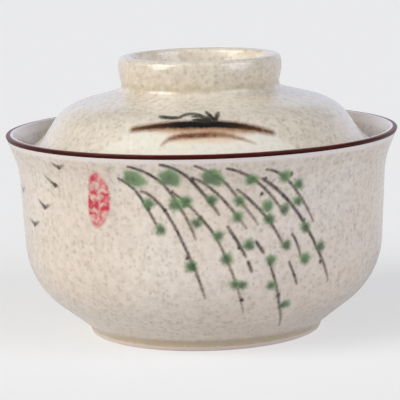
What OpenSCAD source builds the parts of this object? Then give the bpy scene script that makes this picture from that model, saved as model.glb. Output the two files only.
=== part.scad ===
// Lidded noodle bowl in glazed stoneware. The bowl has a foot ring, a round belly and a flared lip with a
// fired-on iron glaze band. The lid drops into the flared lip, and its grip ring is also the foot that it
// stands on when it is turned over. Millimetres, +Z up, origin at the centre of the face that the bowl's
// foot ring stands on.

/* [Bowl] */
// Outer diameter of the lip, before its edge is rounded
rim_d = 178.8; // [172:0.2:196]
// Height from the table to the top of the lip
bowl_h = 92; // [84:1:110]
// Outer diameter where the upright wall starts to flare
throat_d = 167; // [160:0.5:172]
// Height of the flared part, from the throat to the top of the lip
flare_h = 14.5; // [11:0.5:18]
// Outer diameter at the corner between the belly and the upright wall
belly_d = 162; // [156:0.5:168]
// Height of that corner above the table
belly_h = 25; // [20:0.5:36]
// Radius that rounds the belly corner on the outside
belly_round = 36; // [20:1:44]
// Radius that blends the upright wall into the flare on the outside
flare_round = 40; // [10:1:50]
// Thickness of the wall
wall = 4.2; // [3:0.1:6]
// Thickness of the flared lip
lip = 3.2; // [2.4:0.1:4]
// Radius on the two edges of the lip
lip_round = 1.3; // [0.8:0.1:1.5]
// Thickness of the floor
floor_t = 5.5; // [4:0.1:8]
// Radius that blends the floor into the wall on the inside
floor_round = 26; // [10:1:40]

/* [Foot ring] */
// Outer diameter of the face that the bowl stands on
foot_d = 105; // [92:0.5:108]
// Outer diameter where the foot ring meets the belly
foot_top_d = 108.5; // [100:0.5:118]
// Height of the foot ring on the outside
foot_h = 4; // [3.2:0.1:6]
// Width of the foot ring at the table
foot_w = 6; // [4:0.1:9]
// Depth of the hollow inside the foot ring
hollow_h = 6; // [4.5:0.1:8]
// Draught of the hollow's wall, on the diameter
hollow_draught = 2; // [0:0.1:4]
// Radius on the edges of the foot ring
foot_edge = 1.1; // [0.4:0.1:1.6]
// Radius that blends the foot ring into the belly and into the hollow
foot_round = 3; // [1:0.1:6]

/* [Rim band] */
// Reach of the brown glaze down the outside of the lip
band_out = 2; // [1.7:0.1:4]
// Reach of the brown glaze over the top of the lip, from its outer corner
band_top = 2.3; // [2:0.1:2.8]
// Thickness of the glaze coat
band_t = 0.4; // [0.3:0.05:0.6]

/* [Lid] */
// Thickness of the lid's wall
lid_t = 4; // [3:0.1:5.5]
// Depth of the lid's edge below the top of the lip
seat_drop = 10; // [7:0.1:13]
// Gap between the lid's edge and the rounded throat that it rests on
seat_gap = 0.3; // [0.2:0.05:0.5]
// Radius on the two edges of the lid's brim
brim_edge = 1.7; // [1:0.1:1.9]
// Diameter where the brim turns up into the flank
brim_d = 146; // [140:0.5:150]
// Slope of the brim below the horizontal, in degrees
brim_slope = 33; // [26:1:40]
// Slope of the flank below the horizontal, in degrees
flank_slope = 56; // [50:1:66]
// Slope of the crown below the horizontal, in degrees
crown_slope = 15; // [11:1:18]
// Height of the crown at the grip ring, above the top of the lip
crown_rise = 18.7; // [16:0.1:24]
// Radius that rounds the shoulder between the crown and the flank, on the outside
shoulder_round = 23; // [12:1:28]
// Radius that blends the flank into the brim, on the outside
brim_round = 18; // [8:1:30]
// Radius that blends the flat ceiling inside the lid into the crown
ceiling_round = 60; // [20:1:80]

/* [Grip ring] */
// Outer diameter of the grip ring at the widest part of its lip
ring_d = 74.8; // [66:0.2:82]
// Outer diameter of the grip ring where it meets the crown
ring_foot_d = 70.6; // [64:0.2:80]
// Height of the grip ring above the crown
ring_h = 15; // [10:0.5:18]
// Width of the grip ring from the widest part of its lip to the dish
ring_w = 6.4; // [5.6:0.1:8]
// Height of the grip ring's lip, from its widest part to the top
ring_lip_h = 5.4; // [3.5:0.1:6]
// Distance that the lip leans back in towards its top
ring_lip_lean = 0.9; // [0.2:0.1:1.2]
// Radius that rounds the widest part of the lip
ring_lip_round = 14; // [6:1:24]
// Height of the dish's floor inside the grip ring above the crown
dish_rise = 3; // [1:0.5:5]
// Draught of the dish's wall, on the diameter
dish_draught = 2.4; // [0:0.1:4]
// Radius on the two edges of the grip ring's top
ring_edge = 2.4; // [1:0.1:2.6]
// Radius that blends the grip ring into the crown and into the dish
ring_round = 3.2; // [1:0.1:4]

/* [Hidden] */
$fn = 96;
// Largest turn between two neighbouring points of a rounded corner, in degrees
arc_step = 4;
// Largest share of a side that the rounding at one end may use
side_share = 0.49;
stoneware = "#d8ccb8";
iron_brown = "#3c1410";

// Unit vector from a to b
function toward(a, b) = (b - a) / norm(b - a);

// Unit vector to the left of the way from a to b
function left_of(a, b) = let (u = toward(a, b)) [-u.y, u.x];

// Unit vector that falls away from the axis by an angle below the horizontal
function falling(angle) = [cos(angle), -sin(angle)];

// Point where the line through p along u meets the line through q along v
function crossing(p, u, q, v) = p + u * cross(q - p, v) / cross(u, v);

// Point where the line through p along u reaches a height
function at_height(p, u, z) = crossing(p, u, [0, z], [1, 0]);

// Corner between the sides a-b and b-c once each has moved to its left by its own thickness
function wall_corner(a, b, c, side_1, side_2) =
    crossing(b + left_of(a, b) * side_1, b - a, b + left_of(b, c) * side_2, c - b);

// A corner of an outline: a point and the radius that rounds it
function corner(p, radius = 0) = [p.x, p.y, radius];

// Half the angle between the sides that meet at the corner b
function half_angle(a, b, c) = acos(toward([b.x, b.y], [a.x, a.y]) * toward([b.x, b.y], [c.x, c.y])) / 2;

// Radius that rounds the corner b, as large as its sides leave room for
function arc_radius(a, b, c) =
    let (
        p = [b.x, b.y],
        room = side_share * min(norm([a.x, a.y] - p), norm([c.x, c.y] - p))
    )
    min(b.z, room * tan(half_angle(a, b, c)));

// Centre of the tangent arc that rounds the corner b
function arc_centre(a, b, c) =
    let (
        p = [b.x, b.y],
        way = toward(p, [a.x, a.y]) + toward(p, [c.x, c.y])
    )
    p + way / norm(way) * arc_radius(a, b, c) / sin(half_angle(a, b, c));

// Points of the tangent arc that rounds the corner b between its neighbours a and c
function corner_arc(a, b, c) =
    let (
        p = [b.x, b.y],
        u = toward(p, [a.x, a.y]),
        v = toward(p, [c.x, c.y]),
        half = half_angle(a, b, c),
        radius = arc_radius(a, b, c),
        centre = arc_centre(a, b, c),
        start = p + u * radius / tan(half) - centre,
        turn = (180 - 2 * half) * sign(cross(v, u)),
        steps = ceil(abs(turn) / arc_step)
    )
    radius == 0
        ? [p]
        : [for (k = [0 : steps])
            let (t = turn * k / steps)
            centre + [start.x * cos(t) - start.y * sin(t), start.x * sin(t) + start.y * cos(t)]];

// Points of a closed outline with its corners rounded
function rounded(corners) =
    let (n = len(corners))
    [for (i = [0 : n - 1])
        each corner_arc(corners[(i + n - 1) % n], corners[i], corners[(i + 1) % n])];

// Corners of the bowl's outside, from the table up
foot_out = [foot_d / 2, 0];
foot_top = [foot_top_d / 2, foot_h];
belly = [belly_d / 2, belly_h];
throat = [throat_d / 2, bowl_h - flare_h];
rim = [rim_d / 2, bowl_h];

// Corners of the bowl's inside, a wall's thickness from the outside
floor_h = hollow_h + floor_t;
belly_in = wall_corner(foot_top, belly, throat, wall, wall);
throat_in = wall_corner(belly, throat, rim, wall, lip);
rim_in = at_height(throat_in, rim - throat, bowl_h);
floor_in = at_height(belly_in, belly - foot_top, floor_h);

// Corners of the foot ring's inside
foot_in = [foot_d / 2 - foot_w, 0];
hollow_top = [foot_d / 2 - foot_w - hollow_draught / 2, hollow_h];

// Edges of the glaze band, and the corners of the clay under it
flare_up = toward(throat, rim);
flare_in = left_of(throat, rim);
band_edge_out = rim - flare_up * band_out;
band_edge_top = rim - [band_top, 0];
clay_edge_out = band_edge_out + flare_in * band_t;
clay_edge_top = band_edge_top - [0, band_t];
clay_rim_out = at_height(clay_edge_out, flare_up, bowl_h - band_t);

// The clay's share of the lip under the band, from the band's outer edge to its edge on the top
clay_lip = [
    corner(clay_edge_out),
    corner(clay_rim_out, lip_round - band_t),
    corner(clay_edge_top),
];

// Corners of the wall's inside round the throat, from the lip down
throat_side = [
    corner(rim_in, lip_round),
    corner(throat_in, flare_round + wall),
    corner(belly_in, belly_round - wall),
];
throat_arc = arc_centre(throat_side[0], throat_side[1], throat_side[2]);
throat_radius = arc_radius(throat_side[0], throat_side[1], throat_side[2]);

// 1 where the lip flares out, so that the throat's arc bulges inward, and -1 where the lip leans in
throat_turn = sign(cross(rim_in - throat_in, throat_in - belly_in));

// The lid's edge: the arc on its upper edge rests a gap away from the rounded throat
seat_z = bowl_h - seat_drop;
seat_reach = throat_radius + throat_turn * (seat_gap + brim_edge);
seat_side = sqrt(seat_reach ^ 2 - (seat_z - throat_arc.y) ^ 2);
seat_centre = [throat_arc.x - throat_turn * seat_side, seat_z];
brim_way = falling(brim_slope);
brim_up = [-brim_way.y, brim_way.x];
edge_top = seat_centre + (brim_way + brim_up) * brim_edge;
edge_under = edge_top - brim_up * lid_t;

// Corners of the lid's outside, from the edge up
brim = crossing(edge_top, brim_way, [brim_d / 2, 0], [0, 1]);
crown_h = bowl_h + crown_rise;
ring_foot = [ring_foot_d / 2, crown_h];
shoulder = crossing(ring_foot, falling(crown_slope), brim, falling(flank_slope));

// Corners of the grip ring
ring_top_h = crown_h + ring_h;
ring_lip = [ring_d / 2, ring_top_h - ring_lip_h];
ring_out = [ring_d / 2 - ring_lip_lean, ring_top_h];
ring_in = [ring_d / 2 - ring_w, ring_top_h];
dish_edge = [ring_d / 2 - ring_w - dish_draught / 2, crown_h + dish_rise];

// Corners of the lid's inside, a wall's thickness from the outside
ceiling_h = crown_h + dish_rise - lid_t;
brim_in = wall_corner(edge_top, brim, shoulder, lid_t, lid_t);
shoulder_in = wall_corner(brim, shoulder, ring_foot, lid_t, lid_t);
ceiling_in = at_height(shoulder_in, falling(crown_slope), ceiling_h);

// Thrown bowl: foot ring, belly, upright wall and flared lip, with the lip cut back under the glaze band
module bowl() {
    color(stoneware)
        rotate_extrude()
            polygon(rounded(concat(
                [
                    corner([0, hollow_h]),
                    corner(hollow_top, foot_round),
                    corner(foot_in, foot_edge),
                    corner(foot_out, foot_edge),
                    corner(foot_top, foot_round),
                    corner(belly, belly_round),
                    corner(throat, flare_round),
                    corner(band_edge_out),
                ],
                clay_lip,
                [corner(band_edge_top)],
                throat_side,
                [
                    corner(floor_in, floor_round),
                    corner([0, floor_h]),
                ]
            )));
}

// Coat of brown iron glaze on the outside of the lip and over its crest, flush with the glaze beside it
module rim_band() {
    color(iron_brown)
        rotate_extrude()
            polygon(rounded(concat(
                clay_lip,
                [
                    corner(band_edge_top),
                    corner(rim, lip_round),
                    corner(band_edge_out),
                ]
            )));
}

// Domed lid: grip ring with a dish in it, crown, shoulder, steep flank and a brim that rests in the flare
module lid() {
    color(stoneware)
        rotate_extrude()
            polygon(rounded([
                corner([0, crown_h + dish_rise]),
                corner(dish_edge, ring_round),
                corner(ring_in, ring_edge),
                corner(ring_out, ring_edge),
                corner(ring_lip, ring_lip_round),
                corner(ring_foot, ring_round),
                corner(shoulder, shoulder_round),
                corner(brim, brim_round),
                corner(edge_top, brim_edge),
                corner(edge_under, brim_edge),
                corner(brim_in, brim_round + lid_t),
                corner(shoulder_in, shoulder_round - lid_t),
                corner(ceiling_in, ceiling_round),
                corner([0, ceiling_h]),
            ]));
}

bowl();
rim_band();
lid();
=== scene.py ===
"""Looks of a lidded stoneware bowl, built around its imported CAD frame.

The bowl, its iron glaze rim band and the lid are turned again as fine, even surfaces from the outlines
of their CAD nodes. The brush painting lies on them as thin skins that carry on the glaze around them.
A place on a wall is an angle from the front in degrees, positive to the right, and a height above the
table in millimetres.
"""

import logging
import math
import random
from dataclasses import dataclass
from enum import Enum
from typing import Iterable, Mapping, Optional, Sequence, Union

import bmesh
import bpy
import numpy as np
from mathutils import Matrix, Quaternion, Vector


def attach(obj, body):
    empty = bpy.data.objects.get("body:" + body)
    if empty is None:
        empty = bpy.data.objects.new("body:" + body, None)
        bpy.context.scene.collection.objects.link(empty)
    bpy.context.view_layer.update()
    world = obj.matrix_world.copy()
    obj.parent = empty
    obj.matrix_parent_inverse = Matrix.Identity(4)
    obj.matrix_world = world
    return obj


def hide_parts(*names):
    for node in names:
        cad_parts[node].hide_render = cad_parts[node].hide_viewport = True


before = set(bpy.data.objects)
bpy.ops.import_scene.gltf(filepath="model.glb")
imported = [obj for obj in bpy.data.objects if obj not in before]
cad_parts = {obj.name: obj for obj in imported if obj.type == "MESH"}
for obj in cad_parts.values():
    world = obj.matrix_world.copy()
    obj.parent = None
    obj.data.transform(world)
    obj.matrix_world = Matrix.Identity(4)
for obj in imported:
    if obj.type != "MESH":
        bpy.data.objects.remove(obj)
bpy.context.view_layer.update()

LOG = logging.getLogger("noodle_bowl")
MM = 0.001

# Heights between which the walls can be painted, in millimetres
BOWL_PAINTED = (6, 90)
LID_PAINTED = (86, 110)

Colour = tuple[float, float, float, float]
Place = tuple[float, float]
Span = tuple[float, float]
Tones = tuple[float, float, float]
Bounds = tuple[float, float, float, float]
Term = Union["Value", float, Colour, Sequence[float]]


def tint(red: int, green: int, blue: int) -> Colour:
    """Turns a colour as it looks in daylight, 0 to 255 each, into the linear colour that shaders use."""
    linear = [((c / 255 + 0.055) / 1.055) ** 2.4 if c > 10 else c / 255 / 12.92 for c in (red, green, blue)]
    return (linear[0], linear[1], linear[2], 1.0)


class Layer(str, Enum):
    """What a painted skin carries, as the names of its mesh attributes."""

    TWIG = "twig"
    LEAF = "leaf"
    BIRD = "bird"
    SEAL = "seal"
    SPRIG = "sprig"
    RIDGE = "ridge"
    MARK = "mark"
    ARC = "arc"
    WASH = "wash"
    MIST = "mist"

    @property
    def tone(self) -> str:
        """Name of the attribute that holds the layer's tone."""
        return f"{self.value}_tone"


class Ray(str, Enum):
    """Ways of looking at a surface, as the outputs of a Light Path node."""

    SEEN = "Is Camera Ray"
    MIRRORED = "Is Glossy Ray"
    THROUGH = "Is Transmission Ray"


class Value:
    """A value inside a shader, which Python's operators build on with Math nodes."""

    def __init__(self, shader: "Shader", node: bpy.types.Node, output: Union[str, int] = 0) -> None:
        """Holds one output of a node.

        Args:
            shader: The shader that the node belongs to.
            node: The node.
            output: Name or index of the output.
        """
        self.shader = shader
        self.node = node
        self.output = output

    @property
    def socket(self) -> bpy.types.NodeSocket:
        """The socket that the value comes from."""
        return self.node.outputs[self.output]

    def _math(self, operation: str, *terms: Term) -> "Value":
        """Adds one Math node."""
        return self.shader.node("ShaderNodeMath", {"operation": operation}, dict(enumerate(terms)))

    def __add__(self, other: Term) -> "Value":
        """Sum."""
        return self._math("ADD", self, other)

    __radd__ = __add__

    def __sub__(self, other: Term) -> "Value":
        """Difference."""
        return self._math("SUBTRACT", self, other)

    def __rsub__(self, other: Term) -> "Value":
        """Difference with the value on the right."""
        return self._math("SUBTRACT", other, self)

    def __mul__(self, other: Term) -> "Value":
        """Product."""
        return self._math("MULTIPLY", self, other)

    __rmul__ = __mul__

    def rise(self, low: Term, high: Term) -> "Value":
        """Steps smoothly from one value to another.

        Args:
            low: The value at which the step begins.
            high: The value at which it ends.

        Returns:
            0 up to low, and 1 from high on.
        """
        settings = {"interpolation_type": "SMOOTHSTEP"}
        sockets = {"Value": self, "From Min": low, "From Max": high}
        return self.shader.node("ShaderNodeMapRange", settings, sockets, "Result")

    def beside(self, output: str) -> "Value":
        """Another output of the node that this value comes from."""
        return Value(self.shader, self.node, output)


class Shader:
    """The node tree of one material or of the world, with steps of detail and of roughness for its noise."""

    SMOOTH = 1.0
    MIXED = 2.0
    FINE = 3.0
    FINEST = 4.0
    EVEN = 0.5
    CRISP = 0.6

    def __init__(self, owner: Union[bpy.types.Material, bpy.types.World]) -> None:
        """Empties the owner's tree and reads the place it shades, or the way that the world is seen in.

        Args:
            owner: What the tree belongs to.
        """
        owner.use_nodes = True
        self.owner = owner
        self.in_world = isinstance(owner, bpy.types.World)
        self.tree = owner.node_tree
        self.tree.nodes.clear()
        self.place = self.node("ShaderNodeTexCoord", {}, {}, "Generated" if self.in_world else "Object")

    @classmethod
    def of_material(cls, name: str) -> "Shader":
        """The empty tree of a new material."""
        return cls(bpy.data.materials.new(name))

    def node(
        self,
        kind: str,
        settings: Mapping[str, object],
        sockets: Mapping[Union[str, int], Term],
        output: Union[str, int] = 0,
    ) -> Value:
        """Adds a node.

        Args:
            kind: Blender's name for the type of node.
            settings: Properties of the node, which are set before its sockets.
            sockets: Values or links for its inputs, by name or index.
            output: Name or index of the output that is returned.

        Returns:
            The chosen output.
        """
        node = self.tree.nodes.new(kind)
        for name, setting in settings.items():
            setattr(node, name, setting)
        for name, term in sockets.items():
            if isinstance(term, Value):
                self.tree.links.new(term.socket, node.inputs[name])
            else:
                node.inputs[name].default_value = term
        return Value(self, node, output)

    def finish(self, surface: Value) -> Union[bpy.types.Material, bpy.types.World]:
        """Ends the tree with its surface and returns what it belongs to."""
        self.node(f"ShaderNodeOutput{'World' if self.in_world else 'Material'}", {}, {"Surface": surface})
        return self.owner

    def ray(self, kind: Ray) -> Value:
        """1 for rays of one kind and 0 for the others."""
        return self.node("ShaderNodeLightPath", {}, {}, kind.value)

    def number(self, name: str) -> Value:
        """A number that the mesh holds at each point."""
        return self.node("ShaderNodeAttribute", {"attribute_name": name}, {}, "Fac")

    def noise(self, size: float, detail: float = MIXED, roughness: float = EVEN) -> Value:
        """Cloudy noise from 0 to 1 with features of about the given size in metres."""
        sockets = {"Vector": self.place, "Scale": 1 / size, "Detail": detail, "Roughness": roughness}
        return self.node("ShaderNodeTexNoise", {}, sockets, "Fac")

    def stray(self, size: float, detail: float = MIXED, roughness: float = EVEN) -> Value:
        """The same noise about 0, from -0.5 to 0.5."""
        return self.noise(size, detail, roughness) - 0.5

    def bump(self, height: Value, depth: float, strength: float) -> Value:
        """Normals that follow a height from 0 to 1 over a depth in metres."""
        sockets = {"Height": height, "Distance": depth, "Strength": strength}
        return self.node("ShaderNodeBump", {}, sockets)

    def blend(self, amount: Term, first: Term, second: Term) -> Value:
        """Mixes two colours."""
        return self.node("ShaderNodeMix", {"data_type": "RGBA"}, {0: amount, 6: first, 7: second}, 2)


@dataclass(frozen=True)
class Specks:
    """Scattered round specks in a glaze, in cells of which only some hold one.

    Cell is the size of a cell in metres, share how many of the cells hold a speck, reach the largest
    speck's radius as a share of its cell, and strength how far a speck covers the glaze.
    """

    colour: Colour
    cell: float
    share: float
    reach: float
    strength: float

    WAVES = 1.4
    BEND = 0.55
    EDGE = 0.85

    def lay(self, shader: Shader, ground: Value) -> Value:
        """Scatters the specks.

        Args:
            shader: The shader that they belong to.
            ground: The colour under them.

        Returns:
            The colour that shows.
        """
        wave = {"Vector": shader.place, "Scale": self.WAVES / self.cell, "Detail": Shader.SMOOTH}
        bend = shader.node("ShaderNodeTexNoise", {}, wave, "Color")
        offset = {0: bend, 1: (self.BEND * self.cell,) * 3, 2: shader.place}
        bent = shader.node("ShaderNodeVectorMath", {"operation": "MULTIPLY_ADD"}, offset)
        cells = {"Vector": bent, "Scale": 1 / self.cell}
        distance = shader.node("ShaderNodeTexVoronoi", {"feature": "F1"}, cells, "Distance")
        chance = shader.node("ShaderNodeSeparateColor", {}, {"Color": distance.beside("Color")}, "Red")
        radius = (chance - (1 - self.share)) * (self.reach / self.share)
        amount = (radius - distance).rise(0.0, self.EDGE * self.reach)
        return shader.blend(amount * self.strength, ground, self.colour)


@dataclass(frozen=True)
class SpeckledGlaze:
    """Glossy cream stoneware glaze with fine brown specks, over pale clay.

    A size is that of the features of a noise in metres, an edge the values between which a tone sets in,
    and ragged how far noise moves the border of pooled glaze, the paler band just under the rim band or bare
    clay.
    """

    cream: Colour = tint(233, 222, 210)
    warm: Colour = tint(229, 215, 200)
    cloudy: Colour = tint(194, 179, 162)
    pooled: Colour = tint(188, 170, 136)
    # Colour of the paler band of glaze just under the rim band
    thin: Colour = tint(242, 233, 230)
    veil: Colour = tint(231, 223, 199)
    clay: Colour = tint(224, 208, 198)
    specks: tuple[Specks, ...] = (
        Specks(tint(182, 166, 147), cell=1.9 * MM, share=0.95, reach=0.85, strength=0.54),
        Specks(tint(180, 163, 143), cell=2.8 * MM, share=0.85, reach=0.7, strength=0.42),
        Specks(tint(150, 128, 104), cell=6.0 * MM, share=0.4, reach=0.25, strength=0.3),
    )
    drift_size: float = 42 * MM
    drift_edge: Span = (0.36, 0.66)
    cloud_size: float = 3.4 * MM
    cloud_edge: Span = (0.34, 0.68)
    cloud_strength: float = 0.28
    grain_size: float = 2.4 * MM
    grain_edge: Span = (0.54, 0.7)
    grain_strength: float = 0.3
    ragged_size: float = 3 * MM
    pool_ragged: float = 0.65
    pool_edge: Span = (0.2, 0.95)
    pool_strength: float = 0.85
    pale_band_ragged: float = 0.3
    pale_band_edge: Span = (0.15, 0.9)
    pale_band_strength: float = 0.8
    veil_strength: float = 0.5
    bare_size: float = 2 * MM
    bare_ragged: float = 0.3
    bare_edge: Span = (0.45, 0.6)
    ripple_size: float = 7 * MM
    ripple_depth: float = 0.12 * MM
    ripple_strength: float = 0.35
    pit_size: float = 1.1 * MM
    pit_share: float = 0.12
    gloss_size: float = 9 * MM
    roughness: float = 0.17
    roughness_drift: float = 0.12
    clay_roughness: float = 0.45
    refraction: float = 1.5
    coat: float = 0.45
    coat_roughness: float = 0.07

    def colour(self, shader: Shader) -> Value:
        """The glaze's colour on a wall.

        Args:
            shader: The shader that it belongs to.

        Returns:
            The colour, with a veil, pools and the paler band just under the rim band where the mesh says.
        """
        drift = shader.noise(self.drift_size).rise(*self.drift_edge)
        cloud = shader.noise(self.cloud_size).rise(*self.cloud_edge)
        grain = shader.noise(self.grain_size, Shader.SMOOTH).rise(*self.grain_edge)
        body = shader.blend(drift, self.cream, self.warm)
        body = shader.blend(shader.number("veil") * self.veil_strength, body, self.veil)
        body = shader.blend(cloud * self.cloud_strength, body, self.cloudy)
        body = shader.blend(grain * self.grain_strength, body, self.cloudy)
        for specks in self.specks:
            body = specks.lay(shader, body)
        ragged = shader.stray(self.ragged_size, Shader.FINE)
        pool = (shader.number("pool") + ragged * self.pool_ragged).rise(*self.pool_edge)
        thin = (shader.number("thin") + ragged * self.pale_band_ragged).rise(*self.pale_band_edge)
        body = shader.blend(pool * self.pool_strength, body, self.pooled)
        return shader.blend(thin * self.pale_band_strength, body, self.thin)

    def bare(self, shader: Shader) -> Value:
        """1 where the clay is left without glaze."""
        border = shader.number("bare") + shader.stray(self.bare_size) * self.bare_ragged
        return border.rise(*self.bare_edge)

    def surface(self, shader: Shader, colour: Value, bare: Optional[Value] = None) -> Value:
        """Gives a colour the glaze's gloss and its slight ripple.

        Args:
            shader: The shader that the surface belongs to.
            colour: The base colour.
            bare: Where the surface has no glaze, if it has such places.

        Returns:
            The shaded surface.
        """
        ripple = shader.noise(self.ripple_size) + shader.noise(self.pit_size) * self.pit_share
        roughness = shader.noise(self.gloss_size, Shader.FINE) * self.roughness_drift + self.roughness
        coat: Term = self.coat
        if bare is not None:
            roughness = roughness + bare * self.clay_roughness
            coat = (1 - bare) * self.coat
        sockets = {
            "Base Color": colour,
            "Roughness": roughness,
            "Normal": shader.bump(ripple, self.ripple_depth, self.ripple_strength),
            "IOR": self.refraction,
            "Coat Weight": coat,
            "Coat Roughness": self.coat_roughness,
        }
        return shader.node("ShaderNodeBsdfPrincipled", {}, sockets)

    def material(self) -> bpy.types.Material:
        """Mixes the glaze of a turned piece, which leaves its clay bare in places.

        Returns:
            The material.
        """
        shader = Shader.of_material("speckled_glaze")
        bare = self.bare(shader)
        colour = shader.blend(bare, self.colour(shader), self.clay)
        return shader.finish(self.surface(shader, colour, bare))


@dataclass(frozen=True)
class IronGlaze:
    """Dark iron glaze that breaks to rust where it is thin."""

    dark: Colour = tint(60, 12, 6)
    rust: Colour = tint(112, 52, 34)
    break_size: float = 4 * MM
    break_ragged: float = 0.8
    rust_edge: Span = (0.35, 1.1)
    rust_strength: float = 0.8
    ripple_size: float = 3 * MM
    ripple_depth: float = 0.08 * MM
    ripple_strength: float = 0.3
    roughness: float = 0.32
    roughness_drift: float = 0.14
    refraction: float = 1.2

    def material(self) -> bpy.types.Material:
        """Mixes the glaze of the rim band.

        Returns:
            The material.
        """
        shader = Shader.of_material("iron_glaze")
        breaking = shader.stray(self.break_size, Shader.FINEST, Shader.CRISP)
        worn = (shader.number("crest") + breaking * self.break_ragged).rise(*self.rust_edge)
        ripple = shader.noise(self.ripple_size)
        sockets = {
            "Base Color": shader.blend(worn * self.rust_strength, self.dark, self.rust),
            "Roughness": breaking * self.roughness_drift + self.roughness,
            "Normal": shader.bump(ripple, self.ripple_depth, self.ripple_strength),
            "IOR": self.refraction,
        }
        return shader.finish(shader.node("ShaderNodeBsdfPrincipled", {}, sockets))


@dataclass(frozen=True)
class Pigment:
    """A brush colour that lies where a skin's layer says, from its light tone to its full one.

    Soft and wander are how wide its edge fades and how far the edge strays, in millimetres. Grain is the
    size of its blotches in metres, drift how far its tone strays in them, wear the share that is rubbed
    off in patches, gaps a layer that it leaves open, and fringe how far its tone falls where its edge
    fades.
    """

    layer: Layer
    light: Colour
    full: Colour
    strength: float
    soft: float
    wander: float
    grain: float = 3 * MM
    drift: float = 0.7
    wear: float = 0.0
    gaps: Optional[Layer] = None
    fringe: float = 0.0

    PATCHES = 0.5
    EDGE_SIZE = 1.3 * MM
    WEAR_SIZE = 3.3 * MM
    WEAR_EDGE = (0.44, 0.66)
    GAP_STRENGTH = 0.9

    def cover(self, shader: Shader, layer: Layer) -> Value:
        """How far a layer covers the glaze.

        Args:
            shader: The shader that the paint belongs to.
            layer: The layer.

        Returns:
            0 beside the layer and 1 well inside it.
        """
        inward = (shader.number(layer.value) - 0.5) * (2 * Skin.REACH)
        wander = shader.stray(self.EDGE_SIZE, Shader.FINE, Shader.CRISP) * (2 * self.wander)
        return (inward + wander).rise(-self.soft, self.soft)

    def lay(self, shader: Shader, ground: Value) -> Value:
        """Lays the pigment.

        Args:
            shader: The shader that the paint belongs to.
            ground: The colour under it.

        Returns:
            The colour that shows.
        """
        blotch = shader.stray(self.grain, Shader.FINEST, Shader.CRISP)
        cover = self.cover(shader, self.layer)
        tone = shader.number(self.layer.tone) + blotch * self.drift
        if self.fringe > 0:
            tone = tone - (1 - cover) * self.fringe
        amount = cover * (blotch * self.PATCHES + 1) * self.strength
        if self.wear > 0:
            worn = shader.noise(self.WEAR_SIZE, Shader.SMOOTH).rise(*self.WEAR_EDGE)
            amount = amount * (1 - worn * self.wear)
        if self.gaps is not None:
            amount = amount * (1 - self.cover(shader, self.gaps) * self.GAP_STRENGTH)
        return shader.blend(amount, ground, shader.blend(tone.rise(0.0, 1.0), self.light, self.full))


@dataclass(frozen=True)
class PaintedGlaze:
    """Brush painting under the same gloss as the glaze around it."""

    name: str
    glaze: SpeckledGlaze
    pigments: tuple[Pigment, ...]

    def material(self) -> bpy.types.Material:
        """Mixes the glaze with its pigments laid on in order.

        Returns:
            The material.
        """
        shader = Shader.of_material(self.name)
        colour = self.glaze.colour(shader)
        for pigment in self.pigments:
            colour = pigment.lay(shader, colour)
        return shader.finish(self.glaze.surface(shader, colour))


BIRD_INK = Pigment(
    Layer.BIRD, light=tint(172, 158, 134), full=tint(44, 32, 20), strength=0.95, soft=0.7, wander=0.3
)
TWIG_INK = Pigment(
    Layer.TWIG,
    light=tint(138, 114, 102),
    full=tint(50, 32, 26),
    strength=0.95,
    soft=0.65,
    wander=0.4,
    drift=1.0,
    fringe=0.4,
)
LEAF_GREEN = Pigment(
    Layer.LEAF,
    light=tint(34, 72, 34),
    full=tint(122, 157, 102),
    strength=0.92,
    soft=1.35,
    wander=0.9,
    grain=2 * MM,
    drift=1.2,
)
SEAL_RED = Pigment(
    Layer.SEAL,
    light=tint(236, 150, 152),
    full=tint(196, 44, 64),
    strength=1.0,
    soft=1.0,
    wander=0.6,
    grain=3.4 * MM,
    drift=2.2,
    wear=0.5,
    gaps=Layer.SPRIG,
)
MIST_WHITE = Pigment(
    Layer.MIST,
    light=tint(242, 240, 228),
    full=tint(238, 234, 219),
    strength=0.6,
    soft=1.4,
    wander=0.6,
    grain=8 * MM,
)
HILL_WASH = Pigment(
    Layer.WASH,
    light=tint(228, 200, 166),
    full=tint(192, 140, 102),
    strength=0.85,
    soft=1.7,
    wander=0.8,
    grain=6 * MM,
)
ARC_BROWN = Pigment(
    Layer.ARC, light=tint(190, 152, 116), full=tint(108, 58, 32), strength=0.95, soft=1.1, wander=0.5
)
RIDGE_INK = Pigment(
    Layer.RIDGE,
    light=tint(116, 74, 42),
    full=tint(6, 3, 1),
    strength=1.2,
    soft=1.9,
    wander=0.6,
    drift=0.5,
    fringe=1.2,
)
MARK_INK = Pigment(
    Layer.MARK, light=tint(132, 128, 108), full=tint(40, 34, 24), strength=1.0, soft=0.8, wander=0.4
)


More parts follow.
